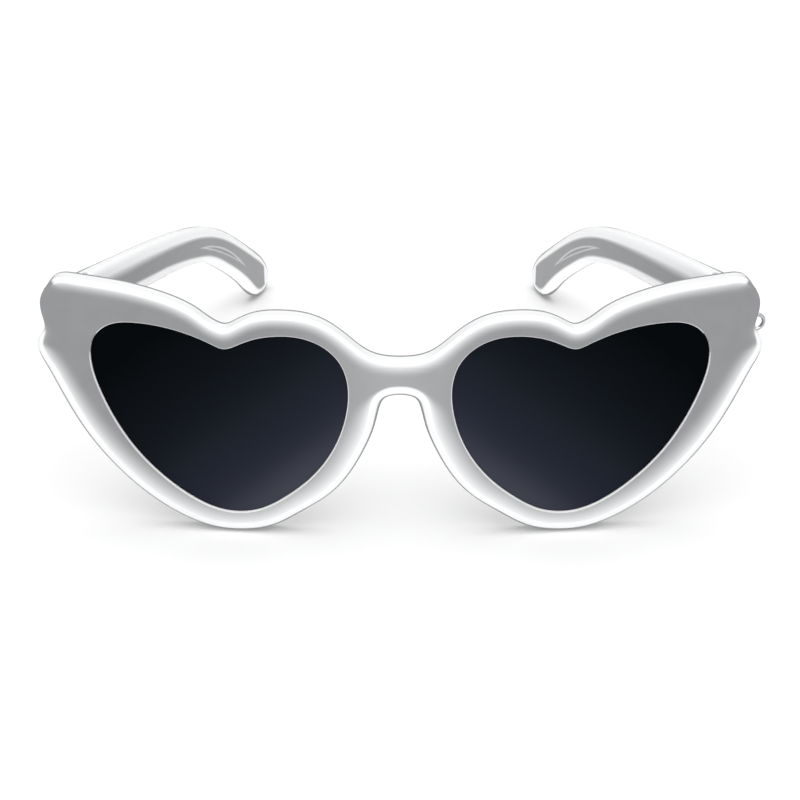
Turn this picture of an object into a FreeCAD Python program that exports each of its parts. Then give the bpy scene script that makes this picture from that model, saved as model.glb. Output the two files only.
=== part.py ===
import FreeCAD, Part
import math
import os

from FreeCAD import Vector

# Heart shaped sunglasses, standing open on the two heart points and the two temple tips.
# X runs along the front and +X is the wearer's left, +Y points back to the wearer, +Z is up.
# The origin is on the floor, midway along the whole depth. All lengths are millimetres.

# Front: the lens openings and the rims round them
lens_width = 52.0
lens_height = 41.6
lens_gap = 20.6
side_rim = 11.2
top_rim = 8.45
bottom_rim = 5.2
front_thickness = 4.5
face_curve_radius = 380.0
bevel_width = 3.2
bevel_depth = 2.2
back_bevel = 0.6
face_run = 0.6

# Lenses, each sprung into a groove round its opening
groove_depth = 0.7
lens_thickness = 1.8
lens_setback = 0.7
lens_clearance = 0.05

# Nose pads, glued behind the nose sides of the front
pad_length = 13.0
pad_height = 19.85
pad_depth = 5.0
pad_thickness = 2.2
pad_round = 0.7
pad_splay_angle = 20.0
glue_gap = 0.02

# Temples
temple_reach = 141.5
temple_root_height = 9.6
temple_thickness = 4.4
temple_round = 1.4
temple_converge_angle = 11.3
temple_inset = 1.4
butt_gap = 0.1
panel_length = 45.6
panel_crown = 3.1
panel_hollow = 1.2
panel_recess = 0.25

# Core wires inside the temples
core_wire_radius = 0.8
core_bend_radius = 60.0
core_clearance = 0.05

# Hinges: five knuckles, the odd ones on the front, the even ones on the temple
hinge_drop = 8.4
hinge_standoff = 2.2
knuckle_count = 5
knuckle_radius = 1.3
knuckle_height = 1.4
knuckle_gap = 0.08
temple_side_gap = 0.2
leaf_thickness = 0.9
front_leaf_length = 8.0
temple_leaf_length = 10.0
leaf_clearance = 0.05
screw_radius = 0.6
screw_head_radius = 1.1
screw_head_height = 0.7
screw_slot_width = 0.3
screw_slot_depth = 0.35
screw_clearance = 0.03
rivet_radius = 0.6
rivet_depth = 2.6
rivet_head_radius = 0.9
rivet_head_height = 0.3
rivet_pitch = 3.6
rivet_margin = 1.8
rivet_clearance = 0.03

# Cord ring on the wearer's left temple, hung under a pin in the temple's outer side
ring_bore_radius = 1.2
ring_wire = 0.82
ring_thickness = 0.9
ring_setback = 1.2
ring_drop = 2.8
ring_gap = 0.25
ring_pin_radius = 0.45
ring_pin_depth = 2.0
ring_clearance = 0.03

# One overrun for every cutting tool
overrun = 2.0

# Values worked out from the sizes above
half_width = lens_gap / 2 + lens_width + side_rim
front_height = bottom_rim + lens_height + top_rim
hinge_height = front_height - hinge_drop
temple_rise = hinge_height + temple_root_height / 2
axis_to_temple = knuckle_radius + temple_side_gap
hinge_x = half_width - temple_inset - temple_thickness - axis_to_temple
wrap_angle = math.degrees(math.asin(hinge_x / (face_curve_radius - front_thickness)))
hinge_stack = knuckle_count * knuckle_height + (knuckle_count - 1) * knuckle_gap
hinge_bottom = hinge_height - hinge_stack / 2

# Half outline of the front from the middle of the bridge's top, round the heart, to the
# middle of its underside: shares of the half width, of the front height and of the bevel
outer_outline_shares = (
    (0.000, 0.718, 0.30),
    (0.075, 0.734, 0.30),
    (0.150, 0.809, 0.32),
    (0.231, 0.875, 0.35),
    (0.320, 0.892, 0.35),
    (0.403, 0.877, 0.35),
    (0.452, 0.845, 0.35),
    (0.473, 0.834, 0.35),
    (0.498, 0.843, 0.35),
    (0.551, 0.892, 0.40),
    (0.639, 0.945, 0.42),
    (0.748, 0.980, 0.45),
    (0.871, 0.999, 0.45),
    (0.932, 0.993, 0.40),
    (0.955, 0.964, 0.25),
    (0.974, 0.917, 0.10),
    (0.974, 0.855, 0.08),
    (0.971, 0.805, 0.15),
    (0.996, 0.752, 0.55),
    (0.999, 0.701, 0.80),
    (0.982, 0.641, 0.95),
    (0.941, 0.517, 1.00),
    (0.887, 0.381, 1.00),
    (0.820, 0.261, 1.00),
    (0.732, 0.146, 1.00),
    (0.619, 0.048, 1.00),
    (0.531, 0.007, 1.00),
    (0.449, 0.001, 1.00),
    (0.367, 0.022, 1.00),
    (0.279, 0.090, 0.90),
    (0.201, 0.165, 0.85),
    (0.141, 0.258, 0.80),
    (0.099, 0.359, 0.80),
    (0.071, 0.452, 0.80),
    (0.056, 0.530, 0.85),
    (0.043, 0.564, 0.90),
    (0.022, 0.575, 1.00),
    (0.000, 0.577, 1.00),
)

# Lens opening from its notch, over the inner lobe: shares of the lens width and lens height
lens_outline_shares = (
    (0.475, 0.883),
    (0.421, 0.905),
    (0.354, 0.938),
    (0.263, 0.956),
    (0.171, 0.946),
    (0.096, 0.905),
    (0.033, 0.823),
    (0.004, 0.710),
    (0.006, 0.590),
    (0.031, 0.458),
    (0.079, 0.328),
    (0.160, 0.196),
    (0.263, 0.088),
    (0.369, 0.016),
    (0.437, 0.000),
    (0.517, 0.008),
    (0.629, 0.069),
    (0.744, 0.179),
    (0.846, 0.319),
    (0.923, 0.477),
    (0.975, 0.636),
    (1.000, 0.794),
    (0.983, 0.903),
    (0.917, 0.980),
    (0.821, 0.999),
    (0.696, 0.981),
    (0.590, 0.942),
    (0.523, 0.905),
)

# Bevel of the front from near its face to its wall: shares of the bevel's width and depth
bevel_profile_shares = ((0.65, 0.10), (0.25, 0.42), (0.00, 1.00))

# Side outline of a temple from the top of its root, round the tip, to the foot of its root:
# shares of the reach behind the hinge axis and of the height of the root's top
temple_outline_shares = (
    (-0.050, 1.017),
    (0.208, 0.913),
    (0.465, 0.797),
    (0.620, 0.695),
    (0.697, 0.618),
    (0.827, 0.439),
    (0.912, 0.307),
    (0.980, 0.178),
    (0.999, 0.083),
    (0.988, 0.021),
    (0.958, 0.002),
    (0.928, 0.013),
    (0.862, 0.124),
    (0.713, 0.379),
    (0.663, 0.451),
    (0.599, 0.522),
    (0.528, 0.573),
    (0.352, 0.657),
    (-0.050, 0.833),
)
panel_centre_shares = (0.700, 0.449)
panel_tilt_angle = -25.5

# Route of a core wire in the temple's side view, in the same shares
core_route_shares = ((0.099, 0.864), (0.596, 0.630), (0.845, 0.268))

samples_per_span = 3
outline_pieces = 10
lens_pieces = 8
up = Vector(0, 0, 1)


def surface_y(x, depth):
    """Y of the curved front at a depth behind its face, before the origin is moved."""
    return face_curve_radius - math.sqrt((face_curve_radius - depth) ** 2 - x * x)


def curve_cylinder(depth):
    """Solid inside the curved front's surface at a depth behind its face."""
    base = Vector(0, face_curve_radius, -overrun)
    return Part.makeCylinder(face_curve_radius - depth, front_height + overrun * 2, base, up)


def mirrored(shape):
    """The same piece on the wearer's right."""
    return shape.mirror(Vector(0, 0, 0), Vector(1, 0, 0))


def box(low, high):
    """Box between two corners."""
    size = high - low
    return Part.makeBox(size.x, size.y, size.z, low)


def rod(radius, start, direction, length):
    return Part.makeCylinder(radius, length, start, direction)


def half_curve(points, side):
    """Smooth curve that leaves the middle plane square on one side and meets it square again."""
    away = Vector(side, 0, 0)
    curve = Part.BSplineCurve()
    curve.interpolate(Points=points, InitialTangent=away, FinalTangent=-away, Scale=False)
    return curve


def closed_curve(points):
    curve = Part.BSplineCurve()
    curve.interpolate(Points=points, PeriodicFlag=True)
    return curve


def split_edges(curve, pieces):
    """Edges of a curve, split into stretches at its points."""
    knots = curve.getKnots()
    stops = [knots[round(number * (len(knots) - 1) / pieces)] for number in range(pieces + 1)]
    edges = []
    for low, high in zip(stops, stops[1:]):
        stretch = curve.copy()
        stretch.segment(low, high)
        edges.append(stretch.toShape())
    return edges


def samples_along(curve):
    """Points along a curve, several to each span, each with the normal on its right."""
    knots = curve.getKnots()
    stops = []
    for low, high in zip(knots, knots[1:]):
        stops += [low + (high - low) * step / samples_per_span for step in range(samples_per_span)]
    if not curve.isPeriodic():
        stops.append(knots[-1])
    samples = []
    for stop in stops:
        point, along = curve.getD1(stop)
        along.normalize()
        samples.append((point, Vector(along.z, 0, -along.x)))
    return samples


def outer_samples():
    """Points along the half outline, each with its inward normal and its share of the bevel."""
    points = [Vector(x * half_width, 0, z * front_height) for x, z, _ in outer_outline_shares]
    levels = [bevel for _, _, bevel in outer_outline_shares]
    samples = []
    for number, (point, inward) in enumerate(samples_along(half_curve(points, 1))):
        row, step = divmod(number, samples_per_span)
        rise = levels[min(row + 1, len(levels) - 1)] - levels[row]
        samples.append((point, inward, levels[row] + rise * step / samples_per_span))
    return samples


def row_wire(samples, inset, y_of):
    """Closed wire round the front, each sample moved in by inset(bevel) and back to y_of(x, bevel)."""
    points = []
    for point, inward, bevel in samples:
        moved = point + inward * inset(bevel)
        points.append(Vector(moved.x, y_of(moved.x, bevel), moved.z))
    across = [Vector(-point.x, point.y, point.z) for point in reversed(points)]
    edges = split_edges(half_curve(points, 1), outline_pieces)
    return Part.Wire(edges + split_edges(half_curve(across, -1), outline_pieces))


def ruled_solid(wires):
    """Solid of straight strips between matching edges of neighbouring wires, flat at both ends."""
    faces = [Part.Face(wires[0]), Part.Face(wires[-1])]
    for near, far in zip(wires, wires[1:]):
        faces += [Part.makeRuledSurface(start, end) for start, end in zip(near.Edges, far.Edges)]
    shell = Part.makeShell(faces)
    shell.sewShape()
    return Part.makeSolid(shell)


def front_blank():
    """The whole front with its bevels and no openings: a ruled skin cut by two cylinders."""
    samples = outer_samples()
    back_y = surface_y(half_width, front_thickness) + overrun
    rows = [
        (lambda bevel: bevel * bevel_width + face_run, lambda x, bevel: -overrun),
        (lambda bevel: bevel * bevel_width + face_run, lambda x, bevel: surface_y(x, -face_run / 2)),
    ]
    for width_share, depth_share in bevel_profile_shares:
        rows.append((
            lambda bevel, share=width_share: share * bevel * bevel_width,
            lambda x, bevel, share=depth_share: surface_y(x, share * bevel * bevel_depth),
        ))
    rows.append((lambda bevel: 0, lambda x, bevel: surface_y(x, front_thickness - back_bevel)))
    rows.append((lambda bevel: back_bevel * 2, lambda x, bevel: surface_y(x, front_thickness + back_bevel)))
    rows.append((lambda bevel: back_bevel * 2, lambda x, bevel: back_y))
    skin = ruled_solid([row_wire(samples, inset, y_of) for inset, y_of in rows])
    return skin.common(curve_cylinder(0)).cut(curve_cylinder(front_thickness))


def lens_prism(grow):
    """Prism through the front with the lens opening's outline, grown all round."""
    left = lens_gap / 2
    points = []
    for x, z in lens_outline_shares:
        points.append(Vector(left + x * lens_width, -overrun, bottom_rim + z * lens_height))
    grown = [point + outward * grow for point, outward in samples_along(closed_curve(points))]
    face = Part.Face(Part.Wire(split_edges(closed_curve(grown), lens_pieces)))
    return face.extrude(Vector(0, surface_y(half_width, front_thickness) + overrun * 2, 0))


def lens():
    prism = lens_prism(groove_depth - lens_clearance)
    return prism.common(curve_cylinder(lens_setback)).cut(curve_cylinder(lens_setback + lens_thickness))


def lens_groove():
    groove = lens_prism(groove_depth).common(curve_cylinder(lens_setback - lens_clearance))
    return groove.cut(curve_cylinder(lens_setback + lens_thickness + lens_clearance))


def hinge_point():
    """The hinge axis at floor height, behind the back of the front."""
    surface = Vector(hinge_x, surface_y(hinge_x, front_thickness), 0)
    turn = math.radians(wrap_angle)
    return surface + Vector(-math.sin(turn), math.cos(turn), 0) * hinge_standoff


def turned_to_axis(shape, angle):
    """Bring a shape drawn round the hinge axis into place, turned about it."""
    shape = shape.copy()
    shape.rotate(Vector(0, 0, 0), up, angle)
    shape.translate(hinge_point())
    return shape


def on_front(shape):
    return turned_to_axis(shape, wrap_angle)


def on_temple(shape):
    return turned_to_axis(shape, temple_converge_angle)


def knuckle_span(first):
    """Lower end of every second knuckle, from the first."""
    pitch = knuckle_height + knuckle_gap
    return [hinge_bottom + number * pitch for number in range(first, knuckle_count, 2)]


def hinge_leaf(plate_low, plate_high, web_low, web_high, first):
    """Plate with knuckles round the axis and a web from each knuckle to the plate."""
    leaf = box(plate_low, plate_high)
    for bottom in knuckle_span(first):
        leaf = leaf.fuse(rod(knuckle_radius, Vector(0, 0, bottom), up, knuckle_height))
        low = Vector(web_low.x, web_low.y, bottom)
        high = Vector(web_high.x, web_high.y, bottom + knuckle_height)
        leaf = leaf.fuse(box(low, high))
    bore_start = Vector(0, 0, hinge_bottom - overrun)
    bore = rod(screw_radius + screw_clearance, bore_start, up, hinge_stack + overrun * 2)
    return leaf.cut(bore).removeSplitter()


def plate_pocket(low, high, run_out):
    """Pocket for a plate: the plate's box with clearance all round, run out on its open side."""
    room = Vector(leaf_clearance, leaf_clearance, leaf_clearance)
    start = low - room + Vector(min(run_out.x, 0), min(run_out.y, 0), 0)
    end = high + room + Vector(max(run_out.x, 0), max(run_out.y, 0), 0)
    return box(start, end)


def rivets(spots, direction, extra):
    """Rivets in a row, each a pin with a flat head on the leaf; extra makes the holes."""
    made = None
    for spot in spots:
        pin = rod(rivet_radius + extra, spot, direction, rivet_depth + extra)
        if not extra:
            head = rod(rivet_head_radius, spot - direction * rivet_head_height, direction, rivet_head_height)
            pin = pin.fuse(head)
        made = pin if made is None else Part.makeCompound([made, pin])
    return made


# Front hinge leaf, drawn round the axis with the front's back at minus the standoff
front_plate_low = Vector(-front_leaf_length, -hinge_standoff - leaf_thickness, hinge_bottom)
front_plate_high = Vector(knuckle_radius, -hinge_standoff, hinge_bottom + hinge_stack)
front_rivet_spots = [
    Vector(reach - front_leaf_length, -hinge_standoff, hinge_height)
    for reach in (rivet_margin, rivet_margin + rivet_pitch)
]
# Temple hinge leaf, flush with the temple's inner side
temple_plate_low = Vector(axis_to_temple, -knuckle_radius, hinge_bottom)
temple_plate_high = Vector(axis_to_temple + leaf_thickness, temple_leaf_length, hinge_bottom + hinge_stack)
temple_rivet_spots = [
    Vector(axis_to_temple, temple_leaf_length - reach, hinge_height)
    for reach in (rivet_margin, rivet_margin + rivet_pitch)
]
into_front = Vector(0, -1, 0)
into_temple = Vector(1, 0, 0)


def front_hinge_leaf():
    web_low = Vector(-knuckle_radius, -hinge_standoff - leaf_thickness, 0)
    web_high = Vector(knuckle_radius, 0, 0)
    leaf = hinge_leaf(front_plate_low, front_plate_high, web_low, web_high, 0)
    return on_front(leaf.cut(rivets(front_rivet_spots, into_front, rivet_clearance)))


def temple_hinge_leaf():
    web_low = Vector(0, -knuckle_radius, 0)
    web_high = Vector(axis_to_temple + leaf_thickness, knuckle_radius, 0)
    leaf = hinge_leaf(temple_plate_low, temple_plate_high, web_low, web_high, 1)
    return on_temple(leaf.cut(rivets(temple_rivet_spots, into_temple, rivet_clearance)))


def hinge_screw():
    top = hinge_bottom + hinge_stack
    screw = rod(screw_radius, Vector(0, 0, hinge_bottom), up, hinge_stack)
    screw = screw.fuse(rod(screw_head_radius, Vector(0, 0, top), up, screw_head_height))
    slot_low = Vector(-screw_head_radius, -screw_slot_width / 2, top + screw_head_height - screw_slot_depth)
    slot_high = Vector(screw_head_radius, screw_slot_width / 2, top + screw_head_height + overrun)
    return on_front(screw.cut(box(slot_low, slot_high)))


def front_frame():
    frame = front_blank()
    pocket = plate_pocket(front_plate_low, front_plate_high, Vector(0, overrun, 0))
    holes = rivets(front_rivet_spots, into_front, rivet_clearance)
    tools = [lens_prism(0), lens_groove(), on_front(pocket), on_front(holes)]
    return frame.cut(tools + [mirrored(tool) for tool in tools])


def nose_sample():
    """The sample on the nose side of the outline nearest to the height of a nose pad's middle."""
    samples = outer_samples()
    heights = [point.z for point, _, _ in samples]
    nose_side = samples[heights.index(min(heights)):]
    return min(nose_side, key=lambda sample: abs(sample[0].z - pad_height))


def nose_pad():
    """Half ellipse that stands behind the nose side and splays away from the nose."""
    point, outboard, _ = nose_sample()
    along = Vector(-outboard.z, 0, outboard.x)
    splay = math.radians(pad_splay_angle)
    back = Vector(0, math.cos(splay), 0) + outboard * math.sin(splay)
    away = along.cross(back)
    ellipse = Part.Ellipse(Vector(0, 0, 0), pad_length / 2, pad_depth)
    rim = Part.ArcOfEllipse(ellipse, 0, math.pi).toShape()
    foot = Part.makeLine(Vector(-pad_length / 2, 0, 0), Vector(pad_length / 2, 0, 0))
    pad = Part.Face(Part.Wire([rim, foot])).extrude(Vector(0, 0, -pad_thickness))
    rounded = [edge for edge in pad.Edges if isinstance(edge.Curve, Part.Ellipse)]
    pad = pad.makeFillet(pad_round, rounded)
    wall = point + outboard * back_bevel
    wall.y = surface_y(wall.x, front_thickness) - glue_gap
    pad.Placement = FreeCAD.Placement(FreeCAD.Matrix(
        along.x, back.x, away.x, wall.x,
        along.y, back.y, away.y, wall.y,
        along.z, back.z, away.z, wall.z,
        0, 0, 0, 1,
    ))
    return pad.common(curve_cylinder(front_thickness + glue_gap))


def temple_point(shares, x):
    return Vector(x, shares[0] * temple_reach, shares[1] * temple_rise)


def core_wire(radius):
    """Round wire along the middle of the temple: two straight runs joined by an arc."""
    middle = axis_to_temple + temple_thickness / 2
    start, corner, end = [temple_point(shares, middle) for shares in core_route_shares]
    to_start = (start - corner).normalize()
    to_end = (end - corner).normalize()
    half_turn = (math.pi - to_start.getAngle(to_end)) / 2
    reach = core_bend_radius * math.tan(half_turn)
    inward = (to_start + to_end).normalize()
    centre = corner + inward * (core_bend_radius / math.cos(half_turn))
    bend_start = corner + to_start * reach
    bend_end = corner + to_end * reach
    arc = Part.Arc(bend_start, centre - inward * core_bend_radius, bend_end)
    path = Part.Wire([Part.makeLine(start, bend_start), arc.toShape(), Part.makeLine(bend_end, end)])
    section = Part.Wire(Part.makeCircle(radius, start, to_start))
    return path.makePipeShell([section], True, False)


def panel_cut():
    """Shallow crescent in the inner side of the ear bend: two arcs, tip to tip."""
    middle = temple_point(panel_centre_shares, axis_to_temple + panel_recess)
    tilt = math.radians(panel_tilt_angle)
    along = Vector(0, math.cos(tilt), math.sin(tilt)) * (panel_length / 2)
    across = Vector(0, -math.sin(tilt), math.cos(tilt))
    upper = Part.Arc(middle - along, middle + across * panel_crown, middle + along).toShape()
    lower = Part.Arc(middle + along, middle + across * panel_hollow, middle - along).toShape()
    return Part.Face(Part.Wire([upper, lower])).extrude(Vector(-panel_recess - overrun, 0, 0))


def ring_top():
    """End of the pin, in the middle of the wire at the top of the ring."""
    outer = axis_to_temple + temple_thickness
    return Vector(outer + ring_gap + ring_bore_radius + ring_wire, ring_setback, hinge_height - ring_drop)


def ring_pin(extra):
    length = ring_wire + ring_bore_radius + ring_gap + ring_pin_depth + extra
    return rod(ring_pin_radius + extra, ring_top(), Vector(-1, 0, 0), length)


def cord_ring():
    back = Vector(0, 1, 0)
    front_end = ring_top() - up * (ring_bore_radius + ring_wire / 2) - back * (ring_thickness / 2)
    ring = rod(ring_bore_radius + ring_wire, front_end, back, ring_thickness).fuse(ring_pin(0))
    return on_temple(ring.cut(rod(ring_bore_radius, front_end, back, ring_thickness)))


def temple(with_ring):
    points = [temple_point(shares, axis_to_temple) for shares in temple_outline_shares]
    side = Part.BSplineCurve()
    side.interpolate(Points=points)
    edge = side.toShape()
    face = Part.Face(Part.Wire([edge, Part.makeLine(points[-1], points[0])]))
    blank = face.extrude(Vector(temple_thickness, 0, 0))
    long_edges = [e for e in blank.Edges if isinstance(e.Curve, Part.BSplineCurve)]
    blank = blank.makeFillet(temple_round, long_edges)
    pocket = plate_pocket(temple_plate_low, temple_plate_high, Vector(-overrun, 0, 0))
    tools = [pocket, rivets(temple_rivet_spots, into_temple, rivet_clearance), panel_cut()]
    tools.append(core_wire(core_wire_radius + core_clearance))
    if with_ring:
        tools.append(ring_pin(ring_clearance))
    for tool in tools:
        blank = blank.cut(tool)
    return on_temple(blank).common(curve_cylinder(front_thickness + butt_gap))


def build():
    """Every node of the sunglasses, by name, with the origin at the middle of the depth."""
    pairs = {
        "lens": lens(),
        "nose_pad": nose_pad(),
        "front_hinge_leaf": front_hinge_leaf(),
        "front_hinge_rivets": on_front(rivets(front_rivet_spots, into_front, 0)),
        "hinge_screw": hinge_screw(),
        "temple_core_wire": on_temple(core_wire(core_wire_radius)),
        "temple_hinge_leaf": temple_hinge_leaf(),
        "temple_hinge_rivets": on_temple(rivets(temple_rivet_spots, into_temple, 0)),
    }
    nodes = {"front_frame": front_frame(), "cord_ring": cord_ring()}
    for name, piece in pairs.items():
        nodes[name + "_left"] = piece
        nodes[name + "_right"] = mirrored(piece)
    nodes["temple_left"] = temple(True)
    nodes["temple_right"] = mirrored(temple(False))
    middle = nodes["temple_left"].optimalBoundingBox().YMax / 2
    for piece in nodes.values():
        piece.translate(Vector(0, -middle, 0))
    return nodes


os.makedirs("parts", exist_ok=True)
for node, shape in build().items():
    shape.exportStep("parts/" + node + ".step")
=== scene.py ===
"""Looks of a pair of heart shaped sunglasses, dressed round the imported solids.

Lengths are millimetres until a mesh is made. +X is the wearer's left, +Y points back to the
wearer, +Z is up, and the origin is on the floor, midway along the whole depth.
"""
import logging
import math
from dataclasses import dataclass, field
from enum import Enum
from typing import Any

import bmesh
import bpy
import numpy as np
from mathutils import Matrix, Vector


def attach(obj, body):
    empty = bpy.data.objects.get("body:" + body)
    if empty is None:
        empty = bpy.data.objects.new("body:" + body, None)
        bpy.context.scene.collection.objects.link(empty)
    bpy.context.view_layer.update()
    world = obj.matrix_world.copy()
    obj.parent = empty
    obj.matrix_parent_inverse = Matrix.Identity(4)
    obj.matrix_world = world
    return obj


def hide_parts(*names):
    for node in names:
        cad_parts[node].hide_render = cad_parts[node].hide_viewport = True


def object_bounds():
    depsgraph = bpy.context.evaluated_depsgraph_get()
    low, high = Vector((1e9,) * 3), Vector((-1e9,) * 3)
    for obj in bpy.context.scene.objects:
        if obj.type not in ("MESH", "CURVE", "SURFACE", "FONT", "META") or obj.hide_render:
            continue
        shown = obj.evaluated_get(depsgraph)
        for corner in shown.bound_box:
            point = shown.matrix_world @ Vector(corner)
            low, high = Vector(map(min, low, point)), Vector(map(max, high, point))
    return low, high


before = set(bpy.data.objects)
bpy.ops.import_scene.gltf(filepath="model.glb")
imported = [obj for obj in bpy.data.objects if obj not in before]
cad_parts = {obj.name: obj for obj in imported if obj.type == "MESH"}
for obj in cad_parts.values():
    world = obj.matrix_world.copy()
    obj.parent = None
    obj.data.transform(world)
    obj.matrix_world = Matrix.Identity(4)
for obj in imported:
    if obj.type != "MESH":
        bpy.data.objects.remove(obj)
cad_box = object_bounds()

Array = np.ndarray
Piece = bpy.types.Object
Tree = bpy.types.NodeTree
Node = bpy.types.Node
Socket = bpy.types.NodeSocket
log = logging.getLogger("sunglasses")

METRES_PER_MM = 0.001
WELD_MM = 0.002
QUARTER_TURN = math.pi / 2
FULL_TURN = 2 * math.pi
# Edges that turn by more than this are shaded sharp
SHARP_DEGREES = 35.0
# How many stops an outline gets where a place on it is looked up
FINE_STOPS = 4000
# The foremost point of the front, on its middle
FRONT_Y = cad_box[0][1] / METRES_PER_MM
# Depth over which the white painted highlight on the rounded edges blends in from the grey
# flats, and back into the grey painted shade line near the back
HIGHLIGHT_BLEND_MM = 0.1
FADE_POWER = 1.7

# Half outline of the front from the middle of the bridge's top, round the heart, to the middle
# of its underside: shares of the half width, of the front height and of the bevel
OUTER_SHARES = np.array((
    (0.000, 0.718, 0.30),
    (0.075, 0.734, 0.30),
    (0.150, 0.809, 0.32),
    (0.231, 0.875, 0.35),
    (0.320, 0.892, 0.35),
    (0.403, 0.877, 0.35),
    (0.452, 0.845, 0.35),
    (0.473, 0.834, 0.35),
    (0.498, 0.843, 0.35),
    (0.551, 0.892, 0.40),
    (0.639, 0.945, 0.42),
    (0.748, 0.980, 0.45),
    (0.871, 0.999, 0.45),
    (0.932, 0.993, 0.40),
    (0.955, 0.964, 0.25),
    (0.974, 0.917, 0.10),
    (0.974, 0.855, 0.08),
    (0.971, 0.805, 0.15),
    (0.996, 0.752, 0.55),
    (0.999, 0.701, 0.80),
    (0.982, 0.641, 0.95),
    (0.941, 0.517, 1.00),
    (0.887, 0.381, 1.00),
    (0.820, 0.261, 1.00),
    (0.732, 0.146, 1.00),
    (0.619, 0.048, 1.00),
    (0.531, 0.007, 1.00),
    (0.449, 0.001, 1.00),
    (0.367, 0.022, 1.00),
    (0.279, 0.090, 0.90),
    (0.201, 0.165, 0.85),
    (0.141, 0.258, 0.80),
    (0.099, 0.359, 0.80),
    (0.071, 0.452, 0.80),
    (0.056, 0.530, 0.85),
    (0.043, 0.564, 0.90),
    (0.022, 0.575, 1.00),
    (0.000, 0.577, 1.00),
))

# Lens opening from its notch, over the inner lobe: shares of the lens width and lens height
LENS_SHARES = np.array((
    (0.475, 0.883),
    (0.421, 0.905),
    (0.354, 0.938),
    (0.263, 0.956),
    (0.171, 0.946),
    (0.096, 0.905),
    (0.033, 0.823),
    (0.004, 0.710),
    (0.006, 0.590),
    (0.031, 0.458),
    (0.079, 0.328),
    (0.160, 0.196),
    (0.263, 0.088),
    (0.369, 0.016),
    (0.437, 0.000),
    (0.517, 0.008),
    (0.629, 0.069),
    (0.744, 0.179),
    (0.846, 0.319),
    (0.923, 0.477),
    (0.975, 0.636),
    (1.000, 0.794),
    (0.983, 0.903),
    (0.917, 0.980),
    (0.821, 0.999),
    (0.696, 0.981),
    (0.590, 0.942),
    (0.523, 0.905),
))

# Side outline of a temple from the top of its root, round the tip, to the foot of its root:
# shares of the reach behind the hinge axis and of the height of the root's top
TEMPLE_SHARES = np.array((
    (-0.050, 1.017),
    (0.208, 0.913),
    (0.465, 0.797),
    (0.620, 0.695),
    (0.697, 0.618),
    (0.827, 0.439),
    (0.912, 0.307),
    (0.980, 0.178),
    (0.999, 0.083),
    (0.988, 0.021),
    (0.958, 0.002),
    (0.928, 0.013),
    (0.862, 0.124),
    (0.713, 0.379),
    (0.663, 0.451),
    (0.599, 0.522),
    (0.528, 0.573),
    (0.352, 0.657),
    (-0.050, 0.833),
))


class Side(Enum):
    """The wearer's side that a piece is on; the value turns +X to that side."""

    LEFT = 1
    RIGHT = -1

    def node(self, stem: str) -> str:
        """Name of this side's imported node."""
        return f"{stem}_{self.name.lower()}"

    @property
    def arm(self) -> str:
        """Name of this side's moving body."""
        return f"{self.name.lower()}_arm"


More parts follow.
